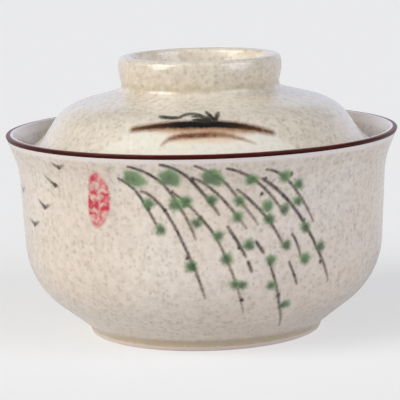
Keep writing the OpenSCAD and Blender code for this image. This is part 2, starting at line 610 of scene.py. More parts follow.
@dataclass
class Outline:
    """The half-section of a turned piece, in order round it, as radii and heights in metres."""

    points: np.ndarray
    closed: bool

    SEAM = 1e-6
    DIGITS = 6
    LONGEST = 3 * MM

    @classmethod
    def of_node(cls, node: bpy.types.Object) -> "Outline":
        """Reads the outline along the seam of a CAD node's mesh.

        Args:
            node: The CAD node's object.

        Returns:
            The outline, with the clay to the left of its way and long sides split.
        """
        places = np.array([vertex.co[:] for vertex in node.data.vertices])
        seam = (np.abs(places[:, 1]) < cls.SEAM) & (places[:, 0] > -cls.SEAM)
        keys = [(round(float(x), cls.DIGITS), round(float(z), cls.DIGITS)) for x, _, z in places]
        links: dict[Place, list[Place]] = {}
        for edge in node.data.edges:
            first, second = edge.vertices
            if seam[first] and seam[second] and keys[first] != keys[second]:
                for here, there in ((keys[first], keys[second]), (keys[second], keys[first])):
                    if there not in links.setdefault(here, []):
                        links[here].append(there)
        ends = sorted(key for key, linked in links.items() if len(linked) == 1)
        points = np.array(cls._chain(links, ends[0] if ends else min(links)))
        if ends:
            points = np.vstack(([0.0, points[0, 1]], points, [0.0, points[-1, 1]]))
        radius, height = points.T
        area = np.sum(radius * np.roll(height, -1) - np.roll(radius, -1) * height)
        return cls(cls._split(points if area > 0 else points[::-1], not ends), not ends)

    @staticmethod
    def _chain(links: Mapping[Place, Sequence[Place]], start: Place) -> list[Place]:
        """Walks from link to link.

        Args:
            links: The points that each point is joined to.
            start: The first point.

        Returns:
            The points in order.
        """
        chain = [start]
        while True:
            ahead = [key for key in links[chain[-1]] if key not in chain]
            if not ahead:
                return chain
            chain.append(ahead[0])

    @classmethod
    def _split(cls, points: np.ndarray, closed: bool) -> np.ndarray:
        """Splits the sides that are longer than LONGEST.

        Args:
            points: The outline's points.
            closed: Whether the last point is joined to the first.

        Returns:
            The points with those that were added.
        """
        rounds = np.vstack((points, points[:1])) if closed else points
        split = []
        for start, stop in zip(rounds[:-1], rounds[1:]):
            parts = max(1, math.ceil(np.linalg.norm(stop - start) / cls.LONGEST))
            split += [start + (stop - start) * part / parts for part in range(parts)]
        return np.array(split if closed else split + [rounds[-1]])


def grid_quads(index: np.ndarray) -> np.ndarray:
    """Faces of a grid of points, anticlockwise as seen with rows going up and columns to the right."""
    corners = (index[:-1, :-1], index[:-1, 1:], index[1:, 1:], index[1:, :-1])
    return np.stack([corner.ravel() for corner in corners], axis=1)


def new_mesh(name: str, points: np.ndarray, faces: Iterable[Sequence[int]]) -> bpy.types.Mesh:
    """Makes a smooth mesh.

    Args:
        name: Its name.
        points: Its points, in metres.
        faces: The indices of each face's points.

    Returns:
        The mesh.
    """
    mesh = bpy.data.meshes.new(name)
    mesh.from_pydata(points.tolist(), [], [[int(i) for i in face] for face in faces])
    mesh.shade_smooth()
    return mesh


def give(mesh: bpy.types.Mesh, name: str, values: np.ndarray) -> None:
    """Gives a mesh a number at each point."""
    mesh.attributes.new(name, "FLOAT", "POINT").data.foreach_set("value", values.astype(np.float32))


def give_map(mesh: bpy.types.Mesh, corners: np.ndarray) -> None:
    """Gives a mesh the flat map that its colours are baked on."""
    mesh.uv_layers.new(name="OFBake").data.foreach_set("uv", corners.astype(np.float32).ravel())


def corner_points(mesh: bpy.types.Mesh) -> np.ndarray:
    """Reads which point lies at each corner of each face.

    Args:
        mesh: The mesh.

    Returns:
        The points' indices, in the order of the corners.
    """
    corners = np.zeros(len(mesh.loops), dtype=np.int64)
    mesh.loops.foreach_get("vertex_index", corners)
    return corners


def new_object(name: str, mesh: bpy.types.Mesh, material: bpy.types.Material) -> bpy.types.Object:
    """Makes an object with one material and links it to the scene.

    Args:
        name: Its name.
        mesh: Its mesh.
        material: Its finish.

    Returns:
        The object.
    """
    mesh.materials.append(material)
    made = bpy.data.objects.new(name, mesh)
    bpy.context.scene.collection.objects.link(made)
    return made


def drop_loose(mesh: bpy.types.Mesh) -> None:
    """Takes out the points that no face uses.

    Args:
        mesh: The mesh.
    """
    loose = np.setdiff1d(np.arange(len(mesh.vertices)), corner_points(mesh))
    work = bmesh.new()
    work.from_mesh(mesh)
    work.verts.ensure_lookup_table()
    bmesh.ops.delete(work, geom=[work.verts[i] for i in loose], context="VERTS")
    work.to_mesh(mesh)
    work.free()


@dataclass
class TurnedPiece:
    """A piece turned round the Z axis from the outline of its CAD node."""

    name: str
    node: str
    body: str
    slot: str
    outline: Outline
    columns: int = 240

    CREASE = math.radians(40)
    MAP_EDGE = 0.01
    DRAWN_IN = 0.0003

    def marks(self, radius: np.ndarray, height: np.ndarray) -> dict[str, np.ndarray]:
        """Numbers that the finish goes by at points of the outline, by the name of their attribute."""
        raise NotImplementedError

    def build(self, material: bpy.types.Material) -> bpy.types.Object:
        """Turns the piece, finishes it and puts it in place of its CAD node.

        Args:
            material: Its finish.

        Returns:
            The object.
        """
        outline = self.outline.points
        turns = np.linspace(0, 2 * np.pi, self.columns, endpoint=False)
        ring = np.stack((np.cos(turns), np.sin(turns)), axis=-1)
        rounds = outline[:, None, :1] * ring[None, :, :] * (1 - self.DRAWN_IN)
        levels = np.repeat(outline[:, None, 1:], self.columns, axis=1)
        points = np.concatenate((rounds, levels), axis=-1)
        mesh = new_mesh(self.name, points.reshape(-1, 3), self._faces())
        for name, values in self.marks(*outline.T).items():
            give(mesh, name, np.repeat(values, self.columns))
        self._map(mesh)
        drop_loose(mesh)
        mesh.set_sharp_from_angle(angle=self.CREASE)
        made = new_object(self.name, mesh, material)
        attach(made, self.body)
        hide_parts(self.node)
        return made

    def _faces(self) -> list[Sequence[int]]:
        """Joins neighbouring rounds, and fans out from each end that lies on the axis.

        Returns:
            The indices of each face's points.
        """
        count = len(self.outline.points)
        index = np.arange(count * self.columns).reshape(count, self.columns)
        wrapped = np.concatenate((index, index[:, :1]), axis=1)
        if self.outline.closed:
            return list(grid_quads(wrapped[np.arange(count + 1) % count]))
        faces = list(grid_quads(wrapped[1:-1]))
        faces += [(index[0, 0], right, left) for left, right in zip(wrapped[1, :-1], wrapped[1, 1:])]
        faces += [(index[-1, 0], left, right) for left, right in zip(wrapped[-2, :-1], wrapped[-2, 1:])]
        return faces

    def _map(self, mesh: bpy.types.Mesh) -> None:
        """Maps the piece by its turn and the length of its outline.

        Args:
            mesh: The piece's mesh.
        """
        outline = self.outline.points
        length = np.concatenate(([0.0], np.cumsum(np.linalg.norm(np.diff(outline, axis=0), axis=1))))
        along = length / (length[-1] + np.linalg.norm(outline[0] - outline[-1]))
        corners = corner_points(mesh)
        u = (corners % self.columns) / self.columns
        v = along[corners // self.columns]
        for face in mesh.polygons:
            loops = np.array(face.loop_indices)
            if np.ptp(u[loops]) > 0.5:
                u[loops] = np.where(u[loops] < 0.5, u[loops] + 1, u[loops])
            if self.outline.closed and np.ptp(v[loops]) > 0.5:
                v[loops] = np.where(v[loops] < 0.5, 1.0, v[loops])
        give_map(mesh, np.stack((u, v), axis=-1) * (1 - 2 * self.MAP_EDGE) + self.MAP_EDGE)


@dataclass
class BowlShell(TurnedPiece):
    """The bowl: glazed all over, with bare clay where the foot ring stands."""

    bare_height: float = 1.3 * MM
    pool_height: float = 3.7 * MM
    pool_reach: float = 2.6 * MM
    foot_hollow_radius: float = 45 * MM
    lip_width: float = 6 * MM
    pale_band_start: float = 1.2 * MM
    pale_band_reach: float = 1.1 * MM

    def marks(self, radius: np.ndarray, height: np.ndarray) -> dict[str, np.ndarray]:
        """Marks bare clay at the foot, glaze pooled above it and a paler band of glaze just under the rim
        band.

        Args:
            radius: Radii of points of the outline, in metres.
            height: Their heights, in metres.

        Returns:
            The values at those points, by the name of their attribute.
        """
        lip_radius, lip_height = self.outline.points[self.outline.points[:, 0].argmax()]
        on_foot = radius > self.foot_hollow_radius
        bare = np.clip((self.bare_height - height) / self.bare_height + 0.5, 0, 1) * on_foot
        pool = np.exp(-(((height - self.pool_height) / self.pool_reach) ** 2)) * on_foot
        # A paler band of glaze just under the rim band, fading downwards
        below = np.clip(lip_height - height - self.pale_band_start, 0, None)
        thin = np.exp(-below / self.pale_band_reach) * (radius > lip_radius - self.lip_width)
        return {"bare": bare, "pool": pool, "thin": thin}


@dataclass
class RimBand(TurnedPiece):
    """The coat of iron glaze that wraps the lip."""

    crest_reach: float = 0.7 * MM

    def marks(self, radius: np.ndarray, height: np.ndarray) -> dict[str, np.ndarray]:
        """The crest of the lip, where the glaze runs thin."""
        return {"crest": np.exp(-(height.max() - height) / self.crest_reach)}


@dataclass
class LidShell(TurnedPiece):
    """The lid, with glaze pooled round the foot of its grip ring."""

    ring_height: float = 15 * MM
    ring_inside: float = 33 * MM
    pool_rise: float = 2.2 * MM
    pool_reach: float = 2.4 * MM
    pool_outside: float = 41 * MM
    ring_pool: float = 0.42
    line_pool: float = 0.66

    def marks(self, radius: np.ndarray, height: np.ndarray) -> dict[str, np.ndarray]:
        """Marks a veil of glaze, pooled on the outside of the grip ring and most where it meets the crown.

        Args:
            radius: Radii of points of the outline, in metres.
            height: Their heights, in metres.

        Returns:
            The values at those points, by the name of their attribute.
        """
        foot = self.outline.points[:, 1].max() - self.ring_height
        outside = (radius > self.ring_inside) & (radius < self.pool_outside)
        line = np.exp(-(((height - foot - self.pool_rise) / self.pool_reach) ** 2))
        ring = self.ring_pool * np.clip((height - foot) / self.pool_rise, 0, 1)
        top = np.clip((foot + self.ring_height - height) / self.pool_rise, 0, 1)
        pool = np.maximum(line * self.line_pool, ring) * top * outside
        return {"pool": pool, "veil": np.ones_like(radius)}


class Wall:
    """The outside of a turned piece between two heights, as the ground for painting."""

    STEP = 0.2 * MM
    EASE = 9

    def __init__(self, piece: TurnedPiece, low: float, high: float) -> None:
        """Measures the wall.

        Args:
            piece: The turned piece.
            low: Lowest height, in millimetres.
            high: Highest height, in millimetres.
        """
        self.piece = piece
        self.heights = np.arange(low * MM, high * MM, self.STEP)
        self.radii = np.zeros_like(self.heights)
        outline = piece.outline.points
        for (r0, z0), (r1, z1) in zip(outline[:-1], outline[1:]):
            if z0 != z1:
                share = (self.heights - z0) / (z1 - z0)
                crossed = np.where((share >= 0) & (share <= 1), r0 + (r1 - r0) * share, 0.0)
                self.radii = np.maximum(self.radii, crossed)
        padded = np.pad(np.gradient(self.radii, self.STEP), self.EASE // 2, mode="edge")
        self.slopes = np.convolve(padded, np.ones(self.EASE) / self.EASE, mode="valid")

    def at(self, angles: np.ndarray, heights: np.ndarray) -> tuple[np.ndarray, np.ndarray]:
        """Finds places on the wall.

        Args:
            angles: Angles from the front, in degrees.
            heights: Heights above the table, in millimetres.

        Returns:
            Points in metres and outward unit normals.
        """
        turn = np.radians(angles)
        level = np.asarray(heights) * MM
        radius = np.interp(level, self.heights, self.radii)
        slope = np.interp(level, self.heights, self.slopes)
        points = np.stack((radius * np.sin(turn), -radius * np.cos(turn), level), axis=-1)
        normals = np.stack((np.sin(turn), -np.cos(turn), -slope), axis=-1)
        return points, normals / np.linalg.norm(normals, axis=-1, keepdims=True)

    def marks(self, heights: np.ndarray) -> dict[str, np.ndarray]:
        """The turned piece's marks at heights in millimetres."""
        level = heights * MM
        return self.piece.marks(np.interp(level, self.heights, self.radii), level)


@dataclass(frozen=True)
class Stroke:
    """One pull of the brush over a wall, along a smooth curve through the places on its way.

    Ends are the widths of its root and tip as shares of its full width in millimetres, and ease the share
    of its length over which it widens from them. Tones are those at its root, in its middle and at its
    tip.
    """

    way: tuple[Place, ...]
    width: float = 1.0
    ends: tuple[float, float] = (0.6, 0.3)
    ease: float = 0.3
    tones: Tones = (0.9, 0.7, 0.4)

    SAMPLES = 120

    def path(self) -> tuple[np.ndarray, np.ndarray, np.ndarray]:
        """Samples the curve.

        Returns:
            Angles, heights and shares of the way along the stroke.
        """
        way = np.array(self.way)
        lean = np.gradient(way, axis=0, edge_order=min(2, len(way) - 1))
        along = np.linspace(0, len(way) - 1, self.SAMPLES)
        leg = np.minimum(along.astype(int), len(way) - 2)
        t = (along - leg)[:, None]
        start = (1 + 2 * t) * (1 - t) ** 2 * way[leg] + t * (1 - t) ** 2 * lean[leg]
        stop = t**2 * (3 - 2 * t) * way[leg + 1] + t**2 * (t - 1) * lean[leg + 1]
        curve = start + stop
        return curve[:, 0], curve[:, 1], along / along[-1]

    def half_width(self, along: np.ndarray) -> np.ndarray:
        """Gives the stroke an even width over most of its way, and a thinner one at both ends.

        Args:
            along: Shares of the way.

        Returns:
            Half the width there, in millimetres.
        """
        near = np.clip(np.stack((along, 1 - along)) / self.ease, 0, 1)
        ends = np.array(self.ends)[:, None]
        return 0.5 * self.width * (ends + (1 - ends) * np.sin(near * np.pi / 2)).min(axis=0)

    def tone(self, along: np.ndarray) -> np.ndarray:
        """Tone of the paint at shares of the way."""
        return np.interp(along, (0, 0.5, 1), self.tones)


@dataclass(frozen=True)
class Dab:
    """One press of a loaded brush: an uneven oval, in millimetres and degrees, with a tone at its heart."""

    place: Place
    wide: float
    tall: float
    tone: float
    tilt: float = 0.0
    lobes: float = 0.07
    phase: float = 0.0
    paling: float = 0.25

    WAVES = (3, 5)
    SECOND_WAVE = 0.6

    def edge(self, way: np.ndarray) -> np.ndarray:
        """Shapes the oval's edge with two waves.

        Args:
            way: Directions from the middle, in radians.

        Returns:
            How far the edge lies there, as a share of an even oval.
        """
        first, second = self.WAVES
        wave = np.cos(first * way + self.phase) + self.SECOND_WAVE * np.cos(second * way - 2 * self.phase)
        return 1 + self.lobes * wave


class Skin:
    """A thin skin of glaze that lies on a wall and carries brush painting."""

    REACH = 2.0
    LIFT = 0.03 * MM
    SINK = 0.08 * MM
    DEPTH = 0.3 * MM
    MAP_EDGE = 0.02
    FINE = 600

    def __init__(self, wall: Wall, left: float, right: float, low: float, high: float, step: float) -> None:
        """Lays out the skin's grid.

        Args:
            wall: The wall that it lies on.
            left: Angle of its left edge, in degrees.
            right: Angle of its right edge, in degrees.
            low: Height of its lower edge, in millimetres.
            high: Height of its upper edge, in millimetres.
            step: Distance between neighbouring points, in millimetres.
        """
        self.wall = wall
        widest = np.interp((low + high) / 2 * MM, wall.heights, wall.radii) / MM
        self.columns = np.linspace(left, right, math.ceil(math.radians(right - left) * widest / step))
        self.rows = self._spread(low, high, step)
        angles, heights = np.meshgrid(self.columns, self.rows)
        self.points, self.normals = wall.at(angles, heights)
        self.layers: dict[str, np.ndarray] = {}

    def _spread(self, low: float, high: float, step: float) -> np.ndarray:
        """Spaces heights evenly along the wall.

        Args:
            low: Lowest height, in millimetres.
            high: Highest height, in millimetres.
            step: Distance between neighbours along the wall, in millimetres.

        Returns:
            The heights, in millimetres.
        """
        fine = np.linspace(low, high, self.FINE)
        points, _ = self.wall.at(np.zeros_like(fine), fine)
        length = np.concatenate(([0.0], np.cumsum(np.linalg.norm(np.diff(points, axis=0), axis=1)))) / MM
        even = np.linspace(0, length[-1], math.ceil(length[-1] / step))
        return np.interp(even, length, fine)

    def _near(self, angles: np.ndarray, heights: np.ndarray, margin: float) -> tuple[slice, slice]:
        """Finds the part of the grid round a path.

        Args:
            angles: The path's angles, in degrees.
            heights: Its heights, in millimetres.
            margin: How far round it to reach, in millimetres.

        Returns:
            The rows and the columns.
        """
        side = math.degrees(margin / (self.wall.radii.min() / MM))
        columns = np.searchsorted(self.columns, (angles.min() - side, angles.max() + side))
        rows = np.searchsorted(self.rows, (heights.min() - margin, heights.max() + margin))
        return slice(*rows), slice(*columns)

    def _add(self, layer: Layer, where: tuple[slice, slice], inward: np.ndarray, tone: np.ndarray) -> None:
        """Adds a shape to a layer.

        Args:
            layer: The layer.
            where: The part of the grid that the shape lies in.
            inward: Distance inside the shape's edge at each point, in millimetres.
            tone: Tone at each point.
        """
        shape = self.points.shape[:2]
        cover = self.layers.setdefault(layer.value, np.zeros(shape))
        tones = self.layers.setdefault(layer.tone, np.zeros(shape))
        fresh = np.clip(0.5 + inward / (2 * self.REACH), 0, 1)
        stronger = fresh > cover[where]
        cover[where] = np.where(stronger, fresh, cover[where])
        tones[where] = np.where(stronger, tone, tones[where])

    def stroke(self, layer: Layer, stroke: Stroke) -> None:
        """Paints a stroke.

        Args:
            layer: The layer that it belongs to.
            stroke: The stroke.
        """
        angles, heights, along = stroke.path()
        where = self._near(angles, heights, stroke.width + self.REACH)
        path, _ = self.wall.at(angles, heights)
        apart = np.linalg.norm(self.points[where][:, :, None, :] - path, axis=-1) / MM
        inward = stroke.half_width(along) - apart
        tone = stroke.tone(along)[inward.argmax(axis=-1)]
        self._add(layer, where, inward.max(axis=-1), tone)

    def dab(self, layer: Layer, dab: Dab) -> None:
        """Presses a dab.

        Args:
            layer: The layer that it belongs to.
            dab: The dab.
        """
        angle, height = np.array(dab.place[:1]), np.array(dab.place[1:])
        where = self._near(angle, height, max(dab.wide, dab.tall) + self.REACH)
        centre, normal = (found[0] for found in self.wall.at(angle, height))
        across = np.cross((0, 0, 1), normal)
        across /= np.linalg.norm(across)
        up = np.cross(normal, across)
        apart = (self.points[where] - centre) / MM
        lean = math.radians(dab.tilt)
        x = apart @ across * math.cos(lean) + apart @ up * math.sin(lean)
        y = apart @ up * math.cos(lean) - apart @ across * math.sin(lean)
        x, y = 2 * x / dab.wide, 2 * y / dab.tall
        inward = (dab.edge(np.arctan2(y, x)) - np.hypot(x, y)) * (dab.wide + dab.tall) / 4
        side = np.clip(x * math.cos(dab.phase) + y, -1, 1) / 2
        self._add(layer, where, inward, dab.tone + dab.paling * (np.clip(np.hypot(x, y), 0, 1) + side))

    def build(self, name: str, material: bpy.types.Material) -> bpy.types.Object:
        """Makes the skin's mesh, closed at the back and sunk into the wall round its border.

        Args:
            name: Name of the piece.
            material: Its finish.

        Returns:
            The object.
        """
        rows, columns = self.points.shape[:2]
        lift = np.full((rows, columns), self.LIFT)
        lift[[0, -1], :] = -self.SINK
        lift[:, [0, -1]] = -self.SINK
        front = self.points + self.normals * lift[:, :, None]
        back = self.points - self.normals * self.DEPTH
        index = np.arange(rows * columns).reshape(rows, columns)
        quads = grid_quads(index)
        rim = np.concatenate((index[0, :-1], index[:-1, -1], index[-1, :0:-1], index[:0:-1, 0]))
        ahead = np.roll(rim, -1)
        sides = np.stack((ahead, rim, rim + rows * columns, ahead + rows * columns), axis=1)
        faces = np.concatenate((quads, quads[:, ::-1] + rows * columns, sides))
        mesh = new_mesh(name, np.concatenate((front.reshape(-1, 3), back.reshape(-1, 3))), faces)
        for layer, cover in self.layers.items():
            give(mesh, layer, np.concatenate((cover.ravel(), np.zeros(rows * columns))))
        for mark, values in self.wall.marks(self.rows).items():
            give(mesh, mark, np.tile(np.repeat(values, columns), 2))
        normals = self.normals.reshape(-1, 3)
        mesh.normals_split_custom_set_from_vertices(np.concatenate((normals, -normals)).tolist())
        u, v = np.meshgrid(np.linspace(0, 1, columns), np.linspace(0, 1, rows))
        flat = np.stack((u, v), axis=-1).reshape(-1, 2) * (1 - 2 * self.MAP_EDGE) + self.MAP_EDGE
        give_map(mesh, np.concatenate((flat, np.zeros_like(flat)))[faces.ravel()])
        return new_object(name, mesh, material)


@dataclass
class Painting:
    """Brush painting on one skin of a wall.

    Bounds are the angles of the skin's left and right edge and the heights of its lower and upper one.
    Step is the distance between its points, in millimetres.
    """

    wall: Wall
    material: bpy.types.Material
    name: str
    bounds: Bounds
    step: float

    def paint(self, skin: Skin) -> None:
        """Paints the skin."""
        raise NotImplementedError

    def build(self) -> bpy.types.Object:
        """Paints a skin, makes it and lets it ride with the wall's piece.

        Returns:
            The object.
        """
        skin = Skin(self.wall, *self.bounds, self.step)
        self.paint(skin)
        made = skin.build(self.name, self.material)
        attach(made, self.wall.piece.body)
        return made


@dataclass(frozen=True)
class Leaves:
    """Leaf dabs of one kind: their places, their usual width and height in millimetres, and their tones."""

    places: tuple[Place, ...]
    size: Place
    tones: Span


@dataclass
class WillowPainting(Painting):
    """Willow twigs that hang from under the rim over the bowl's front, with leaf dabs along them.

    A spread holds the shares between which chance sets a size, and a tilt the angles between which it
    turns a dab.
    """

    name: str = "willow_painting"
    bounds: Bounds = (-29, 46, 9, 89.5)
    step: float = 0.5
    seed: int = 11
    twig_width: float = 1.5
    twig_spread: Span = (0.85, 1.1)
    twig_ends: Span = (0.9, 0.6)
    twig_ease: float = 0.15
    twig_tones: tuple[Span, Span, Span] = ((0.6, 0.8), (0.75, 1.0), (0.1, 0.35))
    knot_size: Place = (2.1, 2.6)
    knot_spread: Span = (0.75, 1.1)
    knot_tilt: Span = (-40, 0)
    leaf_spread: Span = (0.85, 1.05)
    leaf_tilt: Span = (-25, 25)
    leaf_paling: float = 0.4
    flicks: int = 3
    flick_width: float = 1.5
    flick_reach: Span = (0.4, 0.66)
    flick_ends: Span = (1.0, 0.4)
    flick_ease: float = 0.5
    flick_tones: Tones = (0.0, 0.3, 0.6)
    twigs: tuple[tuple[Place, ...], ...] = (
        ((-24.5, 81.3), (-20.0, 76.5), (-16.5, 68.6), (-13.5, 60.3)),
        ((-18.0, 76.0), (-11.2, 67.7), (-4.5, 48.0), (-0.2, 29.3)),
        ((-21.0, 86.8), (-12.5, 80.9), (-6.2, 67.7), (-2.5, 55.3)),
        ((-9.2, 76.1), (-1.0, 64.9), (5.2, 50.7), (12.2, 21.8)),
        ((-11.5, 87.9), (-5.2, 83.6), (0.5, 74.1), (4.5, 65.7)),
        ((-3.0, 82.2), (4.0, 74.8), (12.5, 59.3)),
        ((-2.0, 87.3), (5.0, 81.3), (9.5, 73.6), (16.0, 60.8)),
        ((6.8, 85.7), (16.0, 78.7), (24.5, 63.7)),
        ((10.0, 76.1), (18.2, 64.1), (23.8, 51.3)),
        ((17.2, 80.3), (26.0, 69.1), (33.8, 53.0), (41.5, 31.8)),
        ((18.2, 84.3), (26.2, 77.3), (34.5, 59.3)),
        ((7.0, 60.3), (10.5, 51.8), (12.2, 46.9)),
        ((13.0, 44.6), (14.0, 40.3)),
        ((15.5, 53.1), (17.8, 48.0)),
        ((27.0, 55.0), (28.8, 50.3), (29.8, 45.0)),
        ((26.0, 43.0), (29.2, 32.6)),
        ((19.5, 43.9), (23.0, 29.1), (25.0, 21.9), (30.0, 11.3)),
    )
    knots: tuple[Place, ...] = (
        (-16.2, 68.6), (-11.2, 67.9), (-9.0, 75.6), (-5.0, 47.4), (-4.8, 72.2), (-2.8, 81.3), (-1.0, 64.5),
        (10.5, 51.2), (11.2, 27.7), (17.2, 73.7), (18.0, 79.9), (23.2, 28.6), (25.2, 23.0), (26.0, 81.3),
        (31.0, 60.5), (37.5, 41.3),
    )
    broad: Leaves = Leaves(((-19.7, 81.5), (-9.2, 82.1), (2.8, 81.9)), (10.8, 8.0), (0.25, 0.4))
    middle: Leaves = Leaves(
        ((-8.0, 70.5), (-5.2, 71.5), (24.0, 80.7), (14.0, 80.3), (19.0, 68.3), (6.5, 46.5), (31.5, 43.8)),
        (6.2, 5.7),
        (0.1, 0.35),
    )
    small: Leaves = Leaves(
        (
            (-16.0, 70.8), (-12.8, 59.8), (-2.2, 62.5), (2.5, 72.2), (4.2, 56.8), (-4.0, 43.8),
            (10.5, 71.3), (10.0, 64.5), (24.5, 66.3), (19.5, 62.6), (28.8, 76.5), (28.8, 69.1),
            (31.5, 57.3), (13.2, 52.1), (25.0, 50.6), (37.2, 48.1), (20.0, 44.8), (9.0, 35.3),
            (11.0, 34.8), (20.5, 33.5), (26.5, 23.5),
        ),
        (5.0, 4.8),
        (0.0, 0.25),
    )

    def paint(self, skin: Skin) -> None:
        """Pulls the twigs, presses knots on them and then the leaves.

        Args:
            skin: The skin that is painted.
        """
        pick = random.Random(self.seed)
        for way in self.twigs:
            self._twig(skin, way, pick)
        for place in self.knots:
            wide, tall = (side * pick.uniform(*self.knot_spread) for side in self.knot_size)
            skin.dab(Layer.TWIG, Dab(place, wide, tall, 1.0, pick.uniform(*self.knot_tilt), paling=0.0))
        for leaves in (self.broad, self.middle, self.small):
            for place in leaves.places:
                self._leaf(skin, place, leaves.size, pick.uniform(*leaves.tones), pick)

    def _twig(self, skin: Skin, way: tuple[Place, ...], pick: random.Random) -> None:
        """Pulls one twig.

        Args:
            skin: The skin that it is painted on.
            way: The places on its way.
            pick: The source of its chances.
        """
        width = self.twig_width * pick.uniform(*self.twig_spread)
        root, middle, tip = (pick.uniform(*tones) for tones in self.twig_tones)
        skin.stroke(Layer.TWIG, Stroke(way, width, self.twig_ends, self.twig_ease, (root, middle, tip)))

    def _leaf(self, skin: Skin, place: Place, size: Place, tone: float, pick: random.Random) -> None:
        """Presses one leaf dab with a size and a lean of its own, and flicks the brush out of it.

        Args:
            skin: The skin that it is painted on.
            place: Its middle.
            size: Its usual width and height, in millimetres.
            tone: Its tone.
            pick: The source of its chances.
        """
        wide, tall = (side * pick.uniform(*self.leaf_spread) for side in size)
        tilt, phase = pick.uniform(*self.leaf_tilt), pick.uniform(0, math.tau)
        skin.dab(Layer.LEAF, Dab(place, wide, tall, tone, tilt, phase=phase, paling=self.leaf_paling))
        root, middle, end = (tone + paler for paler in self.flick_tones)
        for _ in range(self.flicks):
            way, reach = pick.uniform(0, math.tau), pick.uniform(*self.flick_reach)
            aside = math.degrees(math.cos(way) * reach * wide * MM / self.wall.radii.max())
            path = (place, (place[0] + aside, place[1] + math.sin(way) * reach * tall))
            flick = Stroke(path, self.flick_width, self.flick_ends, self.flick_ease, (root, middle, end))
            skin.stroke(Layer.LEAF, flick)


@dataclass
class BirdPainting(Painting):
    """Small birds on the wing, left of the willow: where each is, and how far its two wings reach."""

    name: str = "bird_painting"
    bounds: Bounds = (-84, -40, 50, 89)
    step: float = 0.35
    birds: tuple[tuple[Place, Place, Place], ...] = (
        ((-45.5, 84.2), (-2.9, 1.9), (2.4, 1.5)),
        ((-49.5, 75.6), (-4.6, 3.7), (1.4, -0.3)),
        ((-56.5, 64.7), (-3.8, 2.7), (3.0, 1.4)),
        ((-65.2, 55.3), (-4.4, 1.9), (4.0, 2.0)),
        ((-76.0, 68.4), (-4.2, 2.3), (3.4, 1.8)),
    )
    wing_width: float = 1.7
    wing_bend: Place = (0.5, 0.42)
    wing_ends: Span = (1.0, 0.55)
    wing_ease: float = 0.7
    wing_tones: Tones = (0.9, 0.55, 0.15)
    heart: Place = (3.0, 2.3)

    def paint(self, skin: Skin) -> None:
        """Paints each bird as two thin wings that fade to their tips and a dark press where they meet.

        Args:
            skin: The skin that is painted.
        """
        over, up = self.wing_bend
        for (angle, height), left, right in self.birds:
            for aside, rise in (left, right):
                bend = (angle + over * aside, height + up * rise)
                way = ((angle, height), bend, (angle + aside, height + rise))
                wing = Stroke(way, self.wing_width, self.wing_ends, self.wing_ease, self.wing_tones)
                skin.stroke(Layer.BIRD, wing)
            skin.dab(Layer.BIRD, Dab((angle, height), *self.heart, tone=1.0, paling=0.0))


@dataclass
class SealStamp(Painting):
    """A red oval stamp with a leaf sprig left open in it, worn like a print from a soft block."""

    name: str = "seal_stamp"
    bounds: Bounds = (-38.7, -25.7, 56.5, 86.5)
    step: float = 0.3
    centre: Place = (-32.2, 71.5)
    wide: float = 11.4
    tall: float = 25.0
    tilt: float = -7.0
    tone: float = 0.9
    lobes: float = 0.03
    paling: float = -0.15
    stem: tuple[Place, ...] = ((-0.6, -9.6), (0.7, -3.2), (-0.4, 3.4), (0.6, 9.4))
    leaves: tuple[tuple[Place, ...], ...] = (
        ((0.3, -6.4), (-1.7, -4.9), (-3.6, -5.4)),
        ((0.6, -3.8), (2.1, -2.0), (4.0, -2.2)),
        ((0.2, -0.6), (-2.0, 1.2), (-4.2, 0.5)),
        ((-0.3, 2.6), (1.6, 4.3), (3.9, 3.4)),
        ((0.0, 5.6), (-1.6, 7.3), (-3.1, 6.6)),
    )
    stem_width: float = 0.5
    leaf_width: float = 1.0
    opening_ends: Span = (0.5, 0.5)

    def paint(self, skin: Skin) -> None:
        """Prints the oval and opens the sprig's stem and leaves in it.

        Args:
            skin: The skin that is painted.
        """
        shape = {"lobes": self.lobes, "paling": self.paling}
        skin.dab(Layer.SEAL, Dab(self.centre, self.wide, self.tall, self.tone, self.tilt, **shape))
        skin.stroke(Layer.SPRIG, self._opening(self.stem, self.stem_width))
        for leaf in self.leaves:
            skin.stroke(Layer.SPRIG, self._opening(leaf, self.leaf_width))

    def _opening(self, way: tuple[Place, ...], width: float) -> Stroke:
        """An open stroke in the tilted oval.

        Args:
            way: Places on its way, in millimetres to the right of the oval's middle and above it.
            width: Its width, in millimetres.

        Returns:
            The stroke on the wall.
        """
        lean = math.tan(math.radians(-self.tilt))
        turn = math.degrees(MM / self.wall.radii.max())
        angle, height = self.centre
        places = tuple((angle + (x + lean * y) * turn, height + y) for x, y in way)
        return Stroke(places, width, self.opening_ends)


